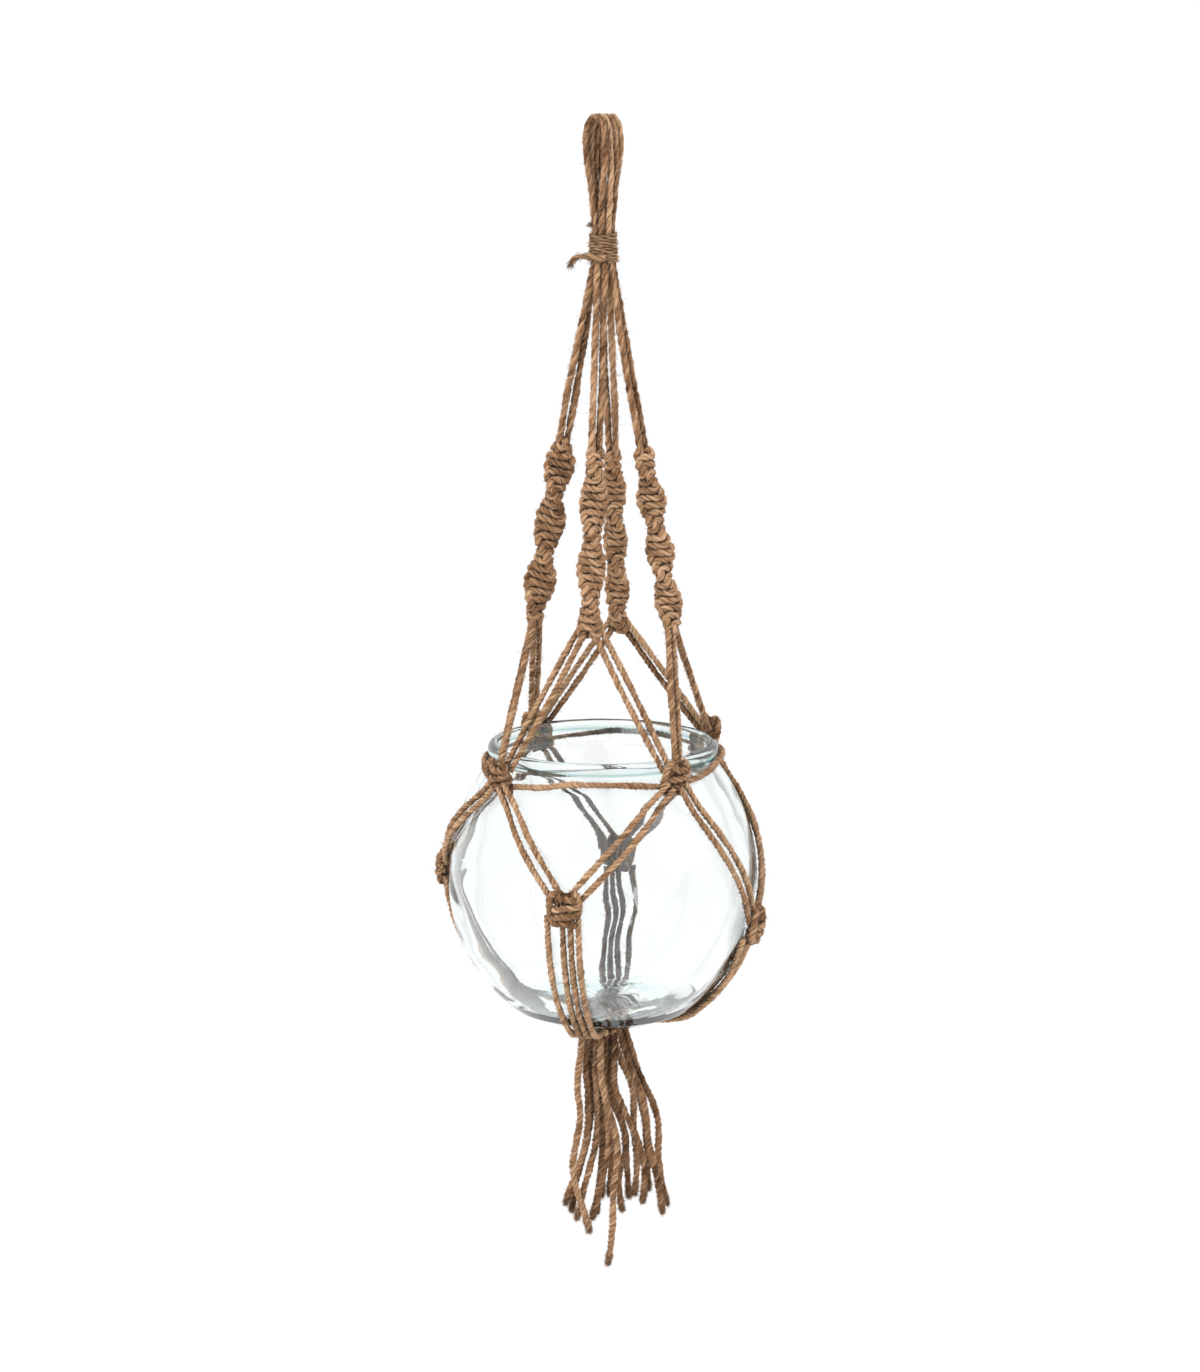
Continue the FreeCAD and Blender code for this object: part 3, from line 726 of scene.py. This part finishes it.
def sennit(leg):
    """Half knots round two straight cords. Each is turned a little, so the sennit spirals."""
    azimuth, top_z, end_z, _, wide_z, half_turn, wide = LEGS[leg]
    name = f"sennit_strands_{leg}"
    batch = Batch(name)
    rng = batch.rng
    top = polar(SENNIT_TOP_R, azimuth, top_z)
    end = polar(SENNIT_END_R, azimuth, end_z)
    length = np.linalg.norm(end - top)
    down = (end - top) / length
    e1 = unit(vec(1, 0, 0) - down * down[0])
    e2 = unit(vec(0, 1, 0) - down * down[1] - e1 * e1[1])
    knots = round(length / SENNIT_PITCH)
    pitch = length / knots
    thin = SENNIT_THIN
    girth = rng.uniform(0.94, 1.06, knots + 2)

    def at(knot, s_part, n_part):
        """The place beside a knot's middle, along its flat side and out of it."""
        distance = (knot + 0.5) * pitch
        z = top_z + down[2] * distance
        turn = math.pi * (wide_z - z) / half_turn
        s_axis = e1 * math.cos(turn) + e2 * math.sin(turn)
        n_axis = e2 * math.cos(turn) - e1 * math.sin(turn)
        jog = rng.normal(0, 0.00018, 2)
        return top + down * distance + s_axis * (s_part + jog[0]) + n_axis * (n_part + jog[1])

    for first_face in (1, -1):
        points = [at(-0.9, -first_face * wide * 0.3, 0),
                  at(-0.5, -first_face * wide * 0.8, thin * 0.3)]
        for knot in range(knots):
            face = first_face * (1 if knot % 2 == 0 else -1)
            big = wide * girth[knot] * min(1, 0.72 + 0.12 * knot, 0.74 + 0.12 * (knots - knot))
            # over the face of the knot, out round its edge, and on to the other face
            points += [
                at(knot + 0.10, -face * big * 0.62, face * thin * 0.95),
                at(knot, 0, face * (thin + 0.0002)),
                at(knot - 0.06, face * big * 0.60, face * thin * 0.95),
                at(knot + 0.06, face * (big - 0.0006), face * 0.0010),
                at(knot + 0.34, face * (big + 0.0006), face * 0.0007),
                at(knot + 0.80, face * (big + 0.0006), -face * 0.0005),
                at(knot + 1.04, face * big * 0.95, -face * 0.0017),
            ]
        points.append(at(knots - 0.1, 0, -face * thin * 0.6))
        rope(batch, spline_line(points), diameter=SENNIT_CORD_D, wobble=0.05, lay=SENNIT_LAY,
             tone=0.07)
    # the straight core cords are made darker than the cords knotted round them: painted shade
    # inside the sennit
    for place in (-SENNIT_CORE, SENNIT_CORE):
        core = [at(knot, place, 0.0003) for knot in (-1.2, knots * 0.3, knots * 0.6, knots + 0.2)]
        rope(batch, spline_line(core), fuzz=0.0, step=0.002, sides=6, tone=-0.2)
    if leg == "left":
        stub = [at(0.2, 0.002, 0), at(-0.2, 0.0055, 0), at(-0.6, 0.0085, 0)]
        rope(batch, spline_line(stub), fuzz=2.0, fray=0.002, tone=-0.05)
    obj = piece(batch, name, JUTE)
    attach(obj, "net")
    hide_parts(f"sennit_{leg}")


# ---------------------------------------------------------------- the net round the bowl

def bowl_radius(z):
    """The glass's outer radius at a height."""
    arc = SHOULDER_ARC if z > BOWL_WIDE_Z else BELLY_ARC
    return BOWL_R - arc + math.sqrt(arc ** 2 - (z - BOWL_WIDE_Z) ** 2)


def belly_tilt(z):
    """How far the glass there faces up, in degrees."""
    arc = SHOULDER_ARC if z > BOWL_WIDE_Z else BELLY_ARC
    return math.degrees(math.asin((z - BOWL_WIDE_Z) / arc))


def beside(near, far):
    """The direction in which the two cords of a pair lie side by side."""
    middle = (near + far) / 2
    outward = vec(middle[0], middle[1], 0)
    return unit(np.cross(far - near, outward))


def upper_pair(leg, knot_name, side):
    """Two cords from a sennit's end to the ring knot on one side of it."""
    azimuth, _, end_z, *_ = LEGS[leg]
    knot_azimuth, knot_z = RING_KNOTS[knot_name]
    near = (polar(SENNIT_END_R - 0.001, azimuth, end_z + 0.004)
            + sideways(azimuth) * CORD_D * 0.6 * side)
    far = (polar(RING_KNOT_R - 0.002, knot_azimuth, knot_z + 0.004)
           - sideways(knot_azimuth) * CORD_D * 0.9 * side)
    step = beside(near, far)
    name = f"net_strands_{leg}_to_{knot_name}"
    batch = Batch(name)
    for way in (-1, 1):
        a = near + step * way * PAIR_TOP_GAP * 0.40
        b = far + step * way * PAIR_GAP * 0.45
        bow = step * way * (0.0006 + batch.rng.uniform(-0.0003, 0.0006))
        sag = vec(0, 0, -0.0005) + bow
        line = spline_line([a, a + (b - a) * 0.3 + sag, a + (b - a) * 0.65 + sag * 0.9, b])
        rope(batch, line, diameter=NET_CORD_D, tone=0.10)
    obj = piece(batch, name, JUTE)
    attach(obj, "net")
    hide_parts(f"net_{leg}_to_{knot_name}")


def lower_pair(ring_name, belly_name, side):
    """Two cords from a ring knot down over the glass to a belly knot."""
    ring_azimuth, ring_z = RING_KNOTS[ring_name]
    belly_azimuth, belly_z = BELLY_KNOTS[belly_name]
    near = polar(RING_KNOT_R + 0.0028, ring_azimuth, ring_z - 0.004)
    near = near + sideways(ring_azimuth) * CORD_D * 0.85 * side
    far = polar(bowl_radius(belly_z + 0.006) + LIE, belly_azimuth, belly_z + 0.005)
    far = far - sideways(belly_azimuth) * CORD_D * 1.1 * side
    step = beside(near, far)
    name = f"net_strands_{ring_name}_to_{belly_name}"
    batch = Batch(name)
    for way in (-1, 1):
        a = near + step * way * PAIR_GAP / 2
        b = far + step * way * PAIR_LOW_GAP / 2
        apart = step * way * (0.0007 + batch.rng.uniform(-0.0004, 0.0004))
        route = []
        for index in range(NET_SPANS + 1):
            part = index / NET_SPANS
            place = a + (b - a) * part + apart * math.sin(math.pi * part)
            radius = math.hypot(place[0], place[1])
            if place[2] < SHOULDER_TOP_Z:
                push = max(1.0, (bowl_radius(place[2]) + LIE) / radius)
                place = vec(place[0] * push, place[1] * push, place[2])
            route.append(place)
        rope(batch, spline_line(route), diameter=NET_CORD_D, tone=0.12)
    obj = piece(batch, name, JUTE)
    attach(obj, "net")
    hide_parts(f"net_{ring_name}_to_{belly_name}_belly")


# A square knot's working cord as it goes round, and its four held cords. Each point is given
# across, up and out of the knot, in its half width, half height and half thickness.
KNOT_ROUTES = [
    [(-0.45, 1.08, 0.0), (-0.95, 0.86, 0.3), (-1.02, 0.30, 0.5), (-1.02, -0.30, 0.5),
     (-0.80, -0.78, 0.6), (-0.10, -0.90, 0.95), (0.58, -0.80, 0.6), (0.60, -1.10, 0.0)],
    [(-0.50, 1.08, -0.3), (-0.30, 0.74, 0.5), (0.10, 0.60, 1.0), (0.60, 0.60, 0.8),
     (1.02, 0.42, 0.2), (1.02, -0.05, -0.1), (0.70, -0.25, -0.7), (-0.30, -0.30, -0.8),
     (-0.80, -0.55, -0.4), (-0.70, -1.10, 0.0)],
    [(0.55, 1.08, 0.0), (0.95, 0.72, -0.1), (0.98, 0.22, 0.5), (0.50, 0.10, 1.15),
     (0.0, 0.10, 1.3), (-0.52, 0.02, 0.9), (-0.86, -0.15, 0.0), (-0.40, 0.20, -0.8),
     (0.40, 0.30, -0.8)],
    [(1.00, 0.05, -0.2), (0.98, -0.32, 0.4), (0.45, -0.40, 1.15), (-0.10, -0.42, 1.25),
     (-0.58, -0.48, 0.7), (-0.80, -0.70, 0.0), (-0.40, -0.80, -0.7), (0.50, -0.70, -0.7)],
]
KNOT_HELD = (-0.55, -0.18, 0.18, 0.55)


def square_knot(name, node, centre, azimuth, tilt, size):
    """Cords tied over and under four straight ones, in two half knots."""
    tall, wide, deep = size
    batch = Batch(name)
    rng = batch.rng
    a, lean = math.radians(azimuth), math.radians(tilt)
    out = vec(math.cos(a) * math.cos(lean), math.sin(a) * math.cos(lean), math.sin(lean))
    up = vec(-math.cos(a) * math.sin(lean), -math.sin(a) * math.sin(lean), math.cos(lean))
    side = np.cross(up, out)

    def at(s, u, n):
        jog = rng.normal(0, 0.00015, 3)
        return (centre + side * (s * wide + jog[0]) + up * (u * tall + jog[1])
                + out * (n * deep + jog[2]))

    for route in KNOT_ROUTES:
        rope(batch, spline_line([at(*point) for point in route]), diameter=KNOT_CORD_D, fuzz=1.2,
             wobble=0.05)
    # the four held cords are made darker than the working cords over them: painted shade under the
    # knot
    for place in KNOT_HELD:
        line = spline_line([at(place, 1.05, 0), at(place * 0.9, 0.4, 0), at(place * 0.9, -0.4, 0),
                            at(place * 1.1, -1.12, 0)])
        rope(batch, line, fuzz=0.6, tone=-0.15)
    obj = piece(batch, name, JUTE)
    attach(obj, "net")
    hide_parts(node)


def bottom_cords(name):
    """Four cords from a belly knot, down the glass and under it to the gathering knot."""
    azimuth, belly_z = BELLY_KNOTS[name]
    reach = BELLY_ARC + LIE
    first = math.degrees(math.asin((BOWL_WIDE_Z - belly_z + 0.005) / reach))
    angles = [first] + [angle for angle in QUAD_ANGLES if angle > first + 5]
    stations = [(BOWL_R - BELLY_ARC + reach * math.cos(math.radians(angle)),
                 BOWL_WIDE_Z - reach * math.sin(math.radians(angle))) for angle in angles]
    stations += QUAD_UNDER
    batch = Batch(f"bottom_strands_{name}")
    last_r, last_z, turned_r = QUAD_LAST
    for spread, even in zip(QUAD_SPREAD, QUAD_EVEN):
        route = []
        for index, (radius, z) in enumerate(stations):
            part = index / (len(stations) - 1)
            offset = spread + (even - spread) * min(1.0, 1.5 * part) ** 2
            middle = azimuth + (QUAD_END[name] - azimuth) * part
            route.append(polar(radius, middle + math.degrees(offset / radius), z))
        route.append(polar(last_r, QUAD_END[name] + math.degrees(even / turned_r), last_z))
        rope(batch, spline_line(route), diameter=NET_CORD_D, tone=0.12)
    obj = piece(batch, f"bottom_strands_{name}", JUTE)
    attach(obj, "net")
    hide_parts(f"bottom_cords_{name}")


def neck_cord():
    """One cord round the bowl's neck, through the four ring knots."""
    batch = Batch("neck_strand")
    names = list(RING_KNOTS)
    for name, following in zip(names, names[1:] + names[:1]):
        (first, first_z), (last, last_z) = RING_KNOTS[name], RING_KNOTS[following]
        span = (last - first) % 360
        middle_z = (first_z + last_z) / 2 - NECK_CORD_DROP
        route = [polar(radius, first + turn, first_z - drop)
                 for turn, radius, drop in NECK_CORD_LEAVES]
        route += [polar(NECK_CORD_R, first + span / 2 + turn, middle_z)
                  for turn in (-NECK_CORD_TURN, NECK_CORD_TURN)]
        route += [polar(radius, last - turn, last_z - drop)
                  for turn, radius, drop in reversed(NECK_CORD_LEAVES)]
        rope(batch, spline_line(route), diameter=NET_CORD_D, tone=0.12)
    obj = piece(batch, "neck_strand", JUTE)
    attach(obj, "net")
    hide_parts("neck_cord")


def bottom_knot():
    """The sixteen cords gathered and knotted under the bowl."""
    batch = Batch("gathering_knot")
    rng = batch.rng
    # four turns round the cords, none quite level
    for index in range(4):
        radius = 0.0100 + 0.0016 * math.sin(index * 2.1)
        tilt = rng.uniform(-0.25, 0.25, 2)
        z = -0.5296 - 0.0010 * index
        points = []
        for k in range(11):
            azimuth = 360 * k / 10 + 67 * index
            a = math.radians(azimuth)
            rise = radius * (tilt[0] * math.cos(a) + tilt[1] * math.sin(a)) * 0.5
            points.append(polar(radius + rng.normal(0, 0.0004), azimuth, z + rise))
        rope(batch, spline_line(points), fuzz=1.2)
    # cords that come over them and down into the tassel
    for index in range(12):
        azimuth = 30 * index + rng.uniform(-8, 8)
        points = [polar(0.0115, azimuth, -0.5285), polar(0.0128, azimuth + 4, -0.5320),
                  polar(0.0105, azimuth + 8, -0.5350), polar(0.0085, azimuth + 10, -0.5375)]
        rope(batch, spline_line(points), fuzz=1.0)
    obj = piece(batch, "gathering_knot", JUTE)
    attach(obj, "net")
    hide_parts("bottom_knot")


# ---------------------------------------------------------------- glass

def wall_arc(arc, inset, z_from, z_to, count):
    """Points on the wall's profile, or this far inside it."""
    return [(BOWL_R - arc + math.sqrt(max((arc - inset) ** 2 - (z - BOWL_WIDE_Z) ** 2, 0)), z)
            for z in np.linspace(z_from, z_to, count)]


def bowl_outline():
    """Radius and z of even points: up the outside from the base, over the lip and down inside."""
    outer = wall_arc(BELLY_ARC, 0, BASE_TURN_Z, BOWL_WIDE_Z, 40)
    outer += wall_arc(SHOULDER_ARC, 0, BOWL_WIDE_Z, SHOULDER_TOP_Z, 34)[1:]
    scale = (SHOULDER_ARC - GLASS_WALL) / SHOULDER_ARC
    top = BOWL_WIDE_Z + (SHOULDER_TOP_Z - BOWL_WIDE_Z) * scale
    inner = wall_arc(SHOULDER_ARC, GLASS_WALL, top, BOWL_WIDE_Z, 34)
    scale = (BELLY_ARC - GLASS_WALL) / BELLY_ARC
    low = BOWL_WIDE_Z + (BASE_TURN_Z - BOWL_WIDE_Z) * scale
    inner += wall_arc(BELLY_ARC, GLASS_WALL, BOWL_WIDE_Z, low, 40)[1:]
    floor_z = BASE_Z + FLOOR_THICK
    base = [
        (AXIS_GAP, BASE_Z + 0.0012),
        (BASE_R * 0.55, BASE_Z + 0.0010),
        (BASE_R * 0.8, BASE_Z + 0.0002),
        (BASE_R * 0.93, BASE_Z),
        (BASE_R, BASE_Z + 0.0002),
        (BASE_R + 0.0035, BASE_Z + 0.0020),
        (outer[0][0] - 0.0030, BASE_TURN_Z - 0.0028),
    ]
    neck_and_lip = [
        (NECK_R + 0.0007, NECK_Z - 0.0018),
        (NECK_R, NECK_Z),
        (NECK_R + 0.0003, LIP_BOTTOM_Z - 0.0015),
        (NECK_R + 0.0009, LIP_BOTTOM_Z),
        (LIP_R - 0.0002, LIP_BOTTOM_Z + 0.0018),
        (LIP_R, LIP_BOTTOM_Z + 0.0040),
        (LIP_R - 0.0006, LIP_TOP_Z - 0.0016),
        (LIP_R - 0.0020, LIP_TOP_Z - 0.0003),
        ((LIP_R + MOUTH_R) / 2, LIP_TOP_Z),
        (MOUTH_R + 0.0014, LIP_TOP_Z - 0.0003),
        (MOUTH_R + 0.0004, LIP_TOP_Z - 0.0015),
        (MOUTH_R, LIP_TOP_Z - 0.0040),
        (MOUTH_R, NECK_Z - 0.0005),
        (MOUTH_R + 0.0012, NECK_Z - 0.0030),
    ]
    floor = [
        (inner[-1][0] - 0.0040, floor_z + 0.0022),
        (BASE_R, floor_z + 0.0002),
        (BASE_R * 0.5, floor_z),
        (AXIS_GAP, floor_z),
    ]
    line = np.array(base + outer + neck_and_lip + inner + floor)
    along = np.concatenate([[0], np.cumsum(np.linalg.norm(np.diff(line, axis=0), axis=1))])
    s = np.linspace(0, along[-1], int(along[-1] / OUTLINE_STEP))
    outline = np.stack([np.interp(s, along, line[:, k]) for k in range(2)], axis=1)
    for _ in range(3):
        outline[1:-1] = (outline[:-2] + outline[1:-1] * 2 + outline[2:]) / 4
    return outline


def bowl_relief(outline, angle):
    """How far each point of the wall stands out: long low waves, and a fine ripple by the floor."""
    rng = seeded("glass")
    count = len(outline)
    lip = int(np.argmax(outline[:, 1]))
    inside = np.zeros(count)
    inside[lip + 20:] = 1
    for _ in range(12):
        inside[1:-1] = (inside[:-2] + inside[1:-1] + inside[2:]) / 3
    by_floor = np.clip((-0.500 - outline[:, 1]) / 0.014, 0, 1) * inside
    relief = np.zeros((count, len(angle)))
    along = np.arange(count)[:, None] * OUTLINE_STEP
    for _ in range(16):
        round_it, up_it = rng.integers(2, 15), rng.uniform(60, 330)
        relief += ((0.000030 * inside[:, None] + 0.000008)
                   * np.sin(round_it * angle[None] + rng.uniform(0, ROUND))
                   * np.sin(up_it * along + rng.uniform(0, ROUND)))
    for _ in range(14):
        round_it, up_it = rng.integers(14, 40), rng.uniform(500, 1300)
        relief += 0.000011 * by_floor[:, None] * np.sin(
            round_it * angle[None] + up_it * along + rng.uniform(0, ROUND))
    return relief * np.clip(outline[:, 0] / 0.02, 0, 1)[:, None]


def glass_bowl():
    outline = bowl_outline()
    radii, heights = outline[:, 0], outline[:, 1]
    turn = normalised(np.gradient(outline, axis=0))
    normal = np.stack([turn[:, 1], -turn[:, 0]], axis=1)
    angle = 2 * math.pi * np.arange(BOWL_SEGMENTS) / BOWL_SEGMENTS
    relief = bowl_relief(outline, angle)
    radius = radii[:, None] + normal[:, 0][:, None] * relief
    height = heights[:, None] + normal[:, 1][:, None] * relief
    verts = np.stack([radius * np.cos(angle), radius * np.sin(angle), height], axis=2)
    verts = verts.reshape(-1, 3)
    tip = len(verts)
    verts = np.concatenate([verts, [[0, 0, heights[0]], [0, 0, heights[-1]]]])
    tris = [[tip, (k + 1) % BOWL_SEGMENTS, k] for k in range(BOWL_SEGMENTS)]
    last = (len(outline) - 1) * BOWL_SEGMENTS
    tris += [[tip + 1, last + k, last + (k + 1) % BOWL_SEGMENTS] for k in range(BOWL_SEGMENTS)]
    # the teal of thick glass: a line under the lip, the lip itself, and the foot's edge
    under_lip = np.exp(-((heights - LIP_BOTTOM_Z - 0.0010) / 0.0009) ** 2) * (radii > 0.0645)
    rim = 0.09 * np.clip((heights - LIP_BOTTOM_Z) / 0.002, 0, 1)
    foot = 0.22 * np.exp(-((heights - BASE_Z - 0.001) / 0.0025) ** 2) * (radii > 0.030)
    tint = np.repeat(np.clip(under_lip + rim + foot, 0, 1), BOWL_SEGMENTS)
    batch = Batch("glass")
    batch.add(verts, ring_faces(len(outline), BOWL_SEGMENTS), tris, verts * 100,
              np.concatenate([tint, [0, 0]]), np.ones(len(verts)))
    obj = piece(batch, "glass_body", GLASS)
    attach(obj, "bowl")
    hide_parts("glass_bowl")


# ---------------------------------------------------------------- studio

WORLD_STRENGTH = 1.08
FLOOR_Z = -1.6
FLOOR_HALF = 30
# name, place, size, power
LIGHTS = (("key", (-1.3, -1.5, 0.9), 1.2, 26), ("fill", (1.6, -0.6, 0.4), 1.4, 8))
LIGHT_AIM = (0, 0, -0.35)


def studio():
    """A pale floor far below, an even pale world, and two soft lights."""
    scene = bpy.context.scene
    scene.view_settings.view_transform = "Standard"
    scene.view_settings.look = "None"
    world = bpy.data.worlds.new("studio")
    scene.world = world
    world.use_nodes = True
    background = world.node_tree.nodes["Background"]
    background.inputs["Color"].default_value = (1, 1, 1, 1)
    background.inputs["Strength"].default_value = WORLD_STRENGTH
    mesh = bpy.data.meshes.new("floor")
    corners = [(x * FLOOR_HALF, y * FLOOR_HALF, FLOOR_Z)
               for x, y in ((-1, -1), (1, -1), (1, 1), (-1, 1))]
    mesh.from_pydata(corners, [], [(0, 1, 2, 3)])
    floor = bpy.data.objects.new("floor", mesh)
    scene.collection.objects.link(floor)
    pale = bpy.data.materials.new("floor")
    pale.use_nodes = True
    shader = pale.node_tree.nodes["Principled BSDF"]
    shader.inputs["Base Color"].default_value = (0.94, 0.94, 0.94, 1)
    shader.inputs["Roughness"].default_value = 0.9
    shader.inputs["Specular IOR Level"].default_value = 0.1
    mesh.materials.append(pale)
    for name, place, size, power in LIGHTS:
        data = bpy.data.lights.new(name, "AREA")
        data.size = size
        data.energy = power
        lamp = bpy.data.objects.new(name, data)
        scene.collection.objects.link(lamp)
        lamp.location = place
        aim = Vector(LIGHT_AIM) - Vector(place)
        lamp.rotation_euler = aim.to_track_quat("-Z", "Y").to_euler()


camera()
tassel_cords()
loop_cords()
wrap()
leg_cords()
for leg in LEGS:
    sennit(leg)
for leg, (before, after) in AROUND.items():
    bottom_cords(leg)
    for ring, side in ((before, -1), (after, 1)):
        upper_pair(leg, ring, side)
        lower_pair(ring, leg, -side)
for knot, (azimuth, z) in RING_KNOTS.items():
    square_knot(f"ring_knot_strands_{knot}", f"ring_knot_{knot}",
                polar(RING_KNOT_R, azimuth, z), azimuth, RING_KNOT_TILT, RING_KNOT_SIZE)
for knot, (azimuth, z) in BELLY_KNOTS.items():
    square_knot(f"belly_knot_strands_{knot}", f"belly_knot_{knot}",
                polar(bowl_radius(z) + BELLY_KNOT_THICK / 2 + 0.001, azimuth, z), azimuth,
                belly_tilt(z), BELLY_KNOT_SIZE)
neck_cord()
bottom_knot()
glass_bowl()
studio()
